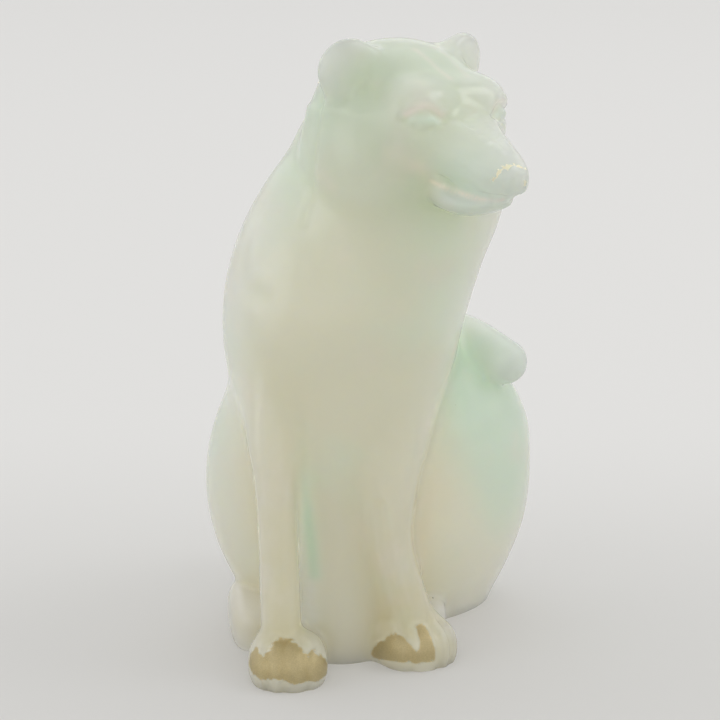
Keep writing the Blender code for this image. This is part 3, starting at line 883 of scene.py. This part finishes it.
def sculpt(mesh, mass, passes=2, relaxings=4, settlings=3):
    """Relaxes the fused mesh and settles it on the melted surface, in passes of some rounds each."""
    points = corners(mesh)
    for _ in range(passes):
        for _ in range(relaxings):
            points = 0.5 * (points + neighbours_mean(mesh, points))
        points = settled(points, mass, settlings)
    mesh.vertices.foreach_set("co", points.ravel())
    mesh.update()


def linked(start):
    """Every corner that edges join to the given one."""
    found, waiting = {start}, [start]
    while waiting:
        for edge in waiting.pop().link_edges:
            for vert in edge.verts:
                if vert not in found:
                    found.add(vert)
                    waiting.append(vert)
    return found


def grounded(mesh):
    """Cuts the figure flat at the floor, keeps its outer skin alone and closes the cut with one face."""
    solid = bmesh.new()
    solid.from_mesh(mesh)
    everything = [*solid.verts, *solid.edges, *solid.faces]
    bmesh.ops.bisect_plane(
        solid, geom=everything, dist=1e-7, plane_co=(0, 0, 0), plane_no=(0, 0, 1), clear_inner=True
    )
    pieces, left = [], set(solid.verts)
    while left:
        pieces.append(linked(next(iter(left))))
        left -= pieces[-1]
    pieces.sort(key=len)
    for piece in pieces[:-1]:
        bmesh.ops.delete(solid, geom=list(piece), context="VERTS")
    rim = [edge for edge in solid.edges if edge.is_boundary]
    bmesh.ops.contextual_create(solid, geom=rim)
    bmesh.ops.recalc_face_normals(solid, faces=solid.faces)
    solid.to_mesh(mesh)
    solid.free()


def front_to_back(mass, points, softenings=3):
    """How much glass lies in front of and behind each point along y: the length of y over which the distance
    is below nothing, on a coarse grid, softened and read between its cells."""
    x, y, z = (np.arange(low, high, DEPTH_CELL) for low, high in DEPTH_BOX)
    x, z, y = np.meshgrid(x, z, y, indexing="ij")
    grid = np.column_stack([x.ravel(), y.ravel(), z.ravel()])
    depth = (mass.distance(grid).reshape(x.shape) < 0).sum(axis=2) * DEPTH_CELL
    for _ in range(softenings):
        ring = np.pad(depth, 1, mode="edge")
        depth = (2 * depth + ring[:-2, 1:-1] + ring[2:, 1:-1] + ring[1:-1, :-2] + ring[1:-1, 2:]) / 6
    column = np.clip((points[:, 0] - x.min()) / DEPTH_CELL, 0, depth.shape[0] - 1.001)
    row = np.clip((points[:, 2] - z.min()) / DEPTH_CELL, 0, depth.shape[1] - 1.001)
    i, j = column.astype(int), row.astype(int)
    a, b = column - i, row - j
    return (
        depth[i, j] * (1 - a) * (1 - b)
        + depth[i + 1, j] * a * (1 - b)
        + depth[i, j + 1] * (1 - a) * b
        + depth[i + 1, j + 1] * a * b
    )


def gilding(points):
    """How far inside the remaining gold each point is: on the feet the least of its distances to the edges of
    the patch, on the nose a fleck's half width less the distance to its line, in hundredths."""
    least = np.full(len(points), NO_GOLD)
    for (place, yaw, *_), table, back in (
        (NEAR_FOOT, NEAR_GOLD, NEAR_GOLD_BACK),
        (FAR_FOOT, FAR_GOLD, FAR_GOLD_BACK),
    ):
        across, ahead, up = facing(place, yaw).inside(points).T
        low, high = interpolated(across, table).T
        edges = (up - low, high - up, ahead - back, across - table[0][0], table[-1][0] - across)
        patch = np.minimum.reduce(edges)
        least = np.where(np.hypot(across, ahead) < GOLD_REACH, np.maximum(least, patch), least)
    local = HEAD.inside(points)
    for path, reach in NOSE_FLECKS:
        least = np.maximum(least, reach - gap_to(local, path))
    return least


def gap_to(points, path, beads=24):
    """The shortest way from each point to a smooth curve through the path's points, taken as beads."""
    gap = np.full(len(points), np.inf)
    for bead in along(path, beads):
        gap = np.minimum(gap, np.linalg.norm(points - bead, axis=1))
    return gap


def bell(reach):
    """1 at nothing, falling like a bell curve."""
    return np.exp(-(reach**2))


def balls(points, table):
    """How deep each point lies in soft balls: the sum, up to 1, of a bell of how far out in each it lies."""
    total = np.zeros(len(points))
    for middle, radii, strength in table:
        total += strength * bell(np.linalg.norm((points - middle) / radii, axis=1))
    return np.minimum(total, 1)


def thread(points, path, width, strength):
    """How deep each point lies in a soft thread: a bell of its distance to the curve over the half width."""
    return strength * bell(gap_to(points, path) / width)


def smooth_step(values, low, high):
    """0 below low, 1 above high and a smooth step between."""
    share = np.clip((values - low) / (high - low), 0, 1)
    return share**2 * (3 - 2 * share)


def folded(points):
    """Places in the head's frame, with its two sides folded onto one."""
    local = HEAD.inside(points)
    local[:, 0] = np.abs(local[:, 0])
    return local


def milk_colours_and_painted_light(points, depth, figure):
    """The milk's colour at each point: from the thin glass's to the thick glass's with the depth, and then
    each cloud's colour laid over it by the cloud's share. Among the layers are painted light and shade:
    the paler thin glass in part, the sage's shade on the head's top, the cream lifting the low haunches,
    the pale stripes, and the highlights on the upper lids and the lower lip."""
    local = folded(points)
    # Rosy: the painted highlight on the upper lids, the tint at the mouth's corners and the streaks on the
    # brow
    rosy = thread(local, *LID_HIGHLIGHT_THREAD) + thread(local, *MOUTH_TINT_AND_HIGHLIGHT[0])
    rosy += sum(thread(HEAD.inside(points), *streak) for streak in BROW_STREAKS)
    layers = (
        # Partly painted light: paler milk where there is less glass front to back
        (figure.thick_colour, smooth_step(depth, THIN_DEPTH, THICK_DEPTH)),
        # Partly painted shade: darker on the head's top
        (figure.sage_colour, balls(points, SAGE_AND_SHADE_CLOUDS)),
        (figure.green_colour, balls(points, GREEN_CLOUDS)),
        # Partly painted light: cream lifting the low haunches and the hind foot
        (figure.cream_colour, balls(points, CREAM_AND_LIGHT_CLOUDS)),
        (figure.honey_colour, balls(points, HONEY_CLOUDS)),
        # Painted light: the pale stripe by the near leg and the pale rim of the chest
        (figure.thin_colour, thread(points, *PAINTED_LIGHT_THREADS[0])),
        (figure.cream_colour, thread(points, *PAINTED_LIGHT_THREADS[1])),
        (figure.green_colour, thread(points, *GREEN_THREAD)),
        (figure.green_colour, thread(local, *EYE_THREAD)),
        (figure.rosy_colour, np.minimum(rosy, 1)),
        # Painted highlight along the lower lip
        (figure.cream_colour, thread(local, *MOUTH_TINT_AND_HIGHLIGHT[1])),
    )
    colours = np.tile(np.array(figure.thin_colour), (len(points), 1))
    for colour, share in layers:
        colours += (np.array(colour) - colours) * share[:, None]
    return colours


def clear_share(points):
    """How clear the glass is at each point, up to 1."""
    return np.minimum(balls(folded(points), CLEAR_EARS) + balls(points, CLEAR_FEET), 1)


def on_figure(mesh, name, values):
    """Lays a number at each point of the mesh, for the shader."""
    mesh.attributes.new(name, "FLOAT", "POINT").data.foreach_set("value", values.astype(np.float32))


def painted(mesh, name, colours):
    """Lays a colour at each point of the mesh, for the shader."""
    opaque = np.column_stack([colours, np.ones(len(colours))]).astype(np.float32)
    mesh.attributes.new(name, "FLOAT_COLOR", "POINT").data.foreach_set("color", opaque.ravel())


class Wire:
    """A socket in an expression: sums, products and the like of wires add Math nodes."""

    def __init__(self, nodes, socket):
        self.nodes, self.socket = nodes, socket

    def math(self, operation, *values):
        return self.nodes.add("ShaderNodeMath", {"operation": operation}, *values)

    def __add__(self, other):
        return self.math("ADD", self, other)

    def __sub__(self, other):
        return self.math("SUBTRACT", self, other)

    def __rsub__(self, other):
        return self.math("SUBTRACT", other, self)

    def __mul__(self, other):
        return self.math("MULTIPLY", self, other)

    __radd__, __rmul__ = __add__, __mul__

    def between(self, low, high):
        """0 below low, 1 above high and a smooth step between."""
        return self.nodes.add(
            "ShaderNodeMapRange", {"interpolation_type": "SMOOTHSTEP"}, self, low, high, 0.0, 1.0
        )


class Nodes:
    """The nodes of one material or world."""

    def __init__(self, owner):
        owner.use_nodes = True
        self.owner, self.tree = owner, owner.node_tree
        self.tree.nodes.clear()

    def make(self, kind, settings, values):
        """A node with its settings, and the values or wires of its sockets by name or number."""
        node = self.tree.nodes.new(kind)
        for name, value in settings.items():
            setattr(node, name, value)
        for key, value in values.items():
            socket = node.inputs[key]
            if isinstance(value, Wire):
                self.tree.links.new(value.socket, socket)
            else:
                socket.default_value = value
        return node

    def add(self, kind, settings=None, *values, output=0, **named):
        """One output of a node, whose sockets' values or wires come in order or by name."""
        node = self.make(kind, settings or {}, {**dict(enumerate(values)), **named})
        return Wire(self, node.outputs[output])

    def attribute(self, name, output="Fac"):
        """What is laid on the mesh under a name."""
        return self.add("ShaderNodeAttribute", {"attribute_name": name}, output=output)

    def noise(self, place, scale, detail):
        """Smooth noise about 0.5, of so many cells in a metre."""
        return self.add("ShaderNodeTexNoise", {}, Vector=place, Scale=scale, Detail=detail, output="Fac")

    def swing(self, place, scale, detail, most):
        """Smooth noise about nothing, that swings by up to half of most."""
        return most * (self.noise(place, scale, detail) - 0.5)

    def dot(self, place, middle, radius):
        """1 within a radius of a point given in hundredths, soft at its edge."""
        middle = tuple(HEIGHT / 100 * value for value in middle)
        gap = self.add("ShaderNodeVectorMath", {"operation": "DISTANCE"}, place, middle, output="Value")
        return 1.0 - gap.between(*(share * radius * HEIGHT / 100 for share in DOT_EDGE))

    def mixed(self, share, first, second):
        """Two colours mixed by a share."""
        node = self.make("ShaderNodeMix", {"data_type": "RGBA"}, {0: share, 6: first, 7: second})
        return Wire(self, node.outputs[2])

    def shader(self, kind, settings, values):
        """The shader that a node gives."""
        return Wire(self, self.make(kind, settings, values).outputs[0])


def opal_glass(figure):
    """Milky glass in the colours laid on the mesh, with painted light and shade among them, drifting a
    little, partly clear at the ears and feet, with what is left of its gold paint; that on the nose is paler,
    a painted glint."""
    nodes = Nodes(bpy.data.materials.new("opalescent_glass"))
    place = nodes.add("ShaderNodeTexCoord", output="Object")
    milk = nodes.attribute("milk", "Color")
    for colour, (*noise, most) in ((figure.green_colour, GREEN_DRIFT), (figure.rosy_colour, ROSY_DRIFT)):
        drift = nodes.noise(place, *noise).between(*DRIFT_RISE) * most
        milk = nodes.mixed(drift, milk, (*colour, 1))
    for seed in SEEDS:
        milk = nodes.mixed(nodes.dot(place, seed, SEED_RADIUS) * SEED_STRENGTH, milk, SEED_COLOUR)
    milk = nodes.mixed(nodes.dot(place, SPECK, SEED_RADIUS), milk, SPECK_COLOUR)
    gold = nodes.attribute("gold")
    for noise in GOLD_WEAR:
        gold = gold + nodes.swing(place, *noise)
    gold = gold.between(*GOLD_EDGE)
    shaded = (*(GOLD_SHADE * part for part in figure.gold_colour), 1)
    grain = nodes.noise(place, *GOLD_GRAIN).between(*GRAIN_RISE)
    paint = nodes.mixed(grain, shaded, (*figure.gold_colour, 1))
    level = nodes.add("ShaderNodeSeparateXYZ", {}, place, output="Z")
    # Painted glint: higher up, on the nose, the gold turns paler
    high = level.between(*(share * HEIGHT for share in GLINT_RISE))
    paint = nodes.mixed(high, paint, (*figure.glint_colour, 1))
    polish = figure.polish + nodes.swing(place, *POLISH_SWING)
    milky = nodes.shader(
        "ShaderNodeBsdfPrincipled",
        {"subsurface_method": "RANDOM_WALK"},
        {
            "Base Color": nodes.mixed(gold, milk, paint),
            "Roughness": polish + gold * GOLD_DULLNESS,
            "Metallic": gold * GOLD_METAL,
            "Transmission Weight": 0.35,
            "IOR": 1.5,
            "Subsurface Weight": 1.0,
            "Subsurface Radius": (1.0, 0.95, 0.8),
            "Subsurface Scale": 0.02,
        },
    )
    clear = nodes.shader(
        "ShaderNodeBsdfPrincipled",
        {},
        {"Base Color": (0.93, 0.97, 0.92, 1), "Roughness": 0.06, "IOR": 1.5, "Transmission Weight": 1.0},
    )
    share = nodes.attribute("clear") * (1.0 - gold) * CLEAR_MOST
    surface = nodes.shader("ShaderNodeMixShader", {}, {0: share, 1: milky, 2: clear})
    haze = nodes.shader(
        "ShaderNodeVolumeScatter", {}, {"Color": (0.9, 1.0, 0.95, 1), "Density": 40.0, "Anisotropy": 0.0}
    )
    tint = nodes.shader("ShaderNodeVolumeAbsorption", {}, {"Color": (0.9, 0.88, 0.5, 1), "Density": 1.0})
    inside = nodes.shader("ShaderNodeAddShader", {}, {0: haze, 1: tint})
    nodes.make("ShaderNodeOutputMaterial", {}, {"Surface": surface, "Volume": inside})
    return nodes.owner


class MakeFigure(bpy.types.Operator):
    """Make the glass figure as a fine mesh"""

    bl_idname = "glass_fox.make_figure"
    bl_label = "Make Figure"

    def execute(self, context):
        figure = context.scene.fox_figure
        mass = animal()
        mesh = fused_mesh(mass, figure.cell / HEIGHT * 100)
        sculpt(mesh, mass)
        grounded(mesh)
        points = corners(mesh)
        painted(mesh, "milk", milk_colours_and_painted_light(points, front_to_back(mass, points), figure))
        on_figure(mesh, "gold", gilding(points))
        on_figure(mesh, "clear", clear_share(points))
        low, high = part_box(NODE)
        middle = (points.min(axis=0) + points.max(axis=0)) / 2
        points[:, :2] -= middle[:2]
        points *= HEIGHT / points[:, 2].max()
        points[:, :2] += (np.array(low)[:2] + np.array(high)[:2]) / 2
        mesh.vertices.foreach_set("co", points.ravel())
        mesh.update()
        mesh.materials.append(opal_glass(figure))
        mesh.shade_smooth()
        fox = bpy.data.objects.new("fox_figure", mesh)
        context.scene.collection.objects.link(fox)
        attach(fox, "root")
        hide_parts(NODE)
        return {"FINISHED"}


def turned(profile, sides):
    """The points and faces of a surface of revolution about z, from a profile of radius and level."""
    radius, level = np.array(profile).T
    angle = np.linspace(0, 2 * np.pi, sides, endpoint=False)
    x = radius[:, None] * np.cos(angle)
    y = radius[:, None] * np.sin(angle)
    z = np.broadcast_to(level[:, None], x.shape)
    points = np.stack([x, y, z], axis=-1).reshape(-1, 3)
    ring, side = np.meshgrid(np.arange(len(profile) - 1), np.arange(sides), indexing="ij")
    here, after = ring * sides + side, ring * sides + (side + 1) % sides
    faces = np.stack([here, here + sides, after + sides, after], axis=-1).reshape(-1, 4)
    return points, faces


class LayStage(bpy.types.Operator):
    """Lay the pale seamless floor, with its light and camera"""

    bl_idname = "glass_fox.lay_stage"
    bl_label = "Lay Stage"

    def execute(self, context):
        studio = context.scene.fox_studio
        bend = [
            (FLOOR_RADIUS + FLOOR_BEND * sin(angle), FLOOR_BEND - FLOOR_BEND * cos(angle))
            for angle in np.linspace(0, np.pi / 2, BEND_STEPS)
        ]
        points, faces = turned([*FLOOR_RINGS, *bend], FLOOR_SIDES)
        mesh = bpy.data.meshes.new("floor")
        mesh.from_pydata(points.tolist(), [], faces.tolist())
        mesh.shade_smooth()
        nodes = Nodes(bpy.data.materials.new("floor"))
        place = nodes.add("ShaderNodeTexCoord", output="Object")
        back = nodes.add("ShaderNodeSeparateXYZ", {}, place, output="Y")
        shader = nodes.shader(
            "ShaderNodeBsdfPrincipled",
            {},
            {
                "Base Color": (*studio.floor_colour, 1),
                "Roughness": 0.9,
                # Painted light: the floor glows less at the front than at the back
                "Emission Color": nodes.mixed(back.between(*GLOW_CHANGE), FRONT_GLOW, BACK_GLOW),
                "Emission Strength": studio.floor_glow,
            },
        )
        nodes.make("ShaderNodeOutputMaterial", {}, {"Surface": shader})
        mesh.materials.append(nodes.owner)
        floor = bpy.data.objects.new("floor", mesh)
        context.scene.collection.objects.link(floor)

        nodes = Nodes(bpy.data.worlds.new("ambient"))
        direction = nodes.add("ShaderNodeTexCoord", output="Generated")
        up = nodes.add("ShaderNodeSeparateXYZ", {}, direction, output="Z")
        overhead = studio.ambient * studio.ceiling
        strength = nodes.add("ShaderNodeMapRange", {}, up, 0.0, 1.0, studio.ambient, overhead)
        sky = nodes.shader("ShaderNodeBackground", {}, {"Color": (1, 1, 1, 1), "Strength": strength})
        nodes.make("ShaderNodeOutputWorld", {}, {"Surface": sky})
        context.scene.world = nodes.owner

        for name, power, (size, place) in (
            ("key", studio.key_power, KEY_LAMP),
            ("window", studio.window_power, WINDOW_LAMP),
            ("fill", studio.fill_power, FILL_LAMP),
        ):
            lamp = bpy.data.lights.new(name, "AREA")
            lamp.shape = "DISK"
            lamp.size = size
            lamp.energy = power
            light = bpy.data.objects.new(name, lamp)
            light.location = place
            towards = Vector(LAMPS_AIM) - light.location
            light.rotation_euler = towards.to_track_quat("-Z", "Y").to_euler()
            context.scene.collection.objects.link(light)

        lens = bpy.data.cameras.new("camera")
        lens.lens = studio.lens
        lens.sensor_width = 36.0
        lens.clip_start = 0.01
        camera = bpy.data.objects.new("camera", lens)
        angle = studio.camera_elevation
        back = Vector((0, -cos(angle), sin(angle)))
        camera.location = Vector(studio.aim) + back * studio.camera_distance
        camera.rotation_euler = (-back).to_track_quat("-Z", "Y").to_euler()
        context.scene.collection.objects.link(camera)
        context.scene.camera = camera
        context.scene.view_settings.view_transform = "Standard"
        context.scene.cycles.volume_bounces = 12
        context.scene.cycles.max_bounces = 16
        return {"FINISHED"}


class FOX_PT_panel(bpy.types.Panel):
    """The figure, its studio and what can be set on them"""

    bl_idname = "FOX_PT_panel"
    bl_label = "Glass Fox"
    bl_space_type = "VIEW_3D"
    bl_region_type = "UI"
    bl_category = "Glass Fox"

    def draw(self, context):
        for settings, operator in (
            (context.scene.fox_figure, MakeFigure),
            (context.scene.fox_studio, LayStage),
        ):
            column = self.layout.column()
            for name in settings.__annotations__:
                column.prop(settings, name)
            column.operator(operator.bl_idname)


CLASSES = (FigureSettings, StudioSettings, MakeFigure, LayStage, FOX_PT_panel)


def register():
    for made in CLASSES:
        bpy.utils.register_class(made)
    bpy.types.Scene.fox_figure = PointerProperty(type=FigureSettings)
    bpy.types.Scene.fox_studio = PointerProperty(type=StudioSettings)


def unregister():
    del bpy.types.Scene.fox_studio
    del bpy.types.Scene.fox_figure
    for made in reversed(CLASSES):
        bpy.utils.unregister_class(made)


def main():
    register()
    bpy.ops.glass_fox.make_figure()
    bpy.ops.glass_fox.lay_stage()


if __name__ == "__main__":
    main()
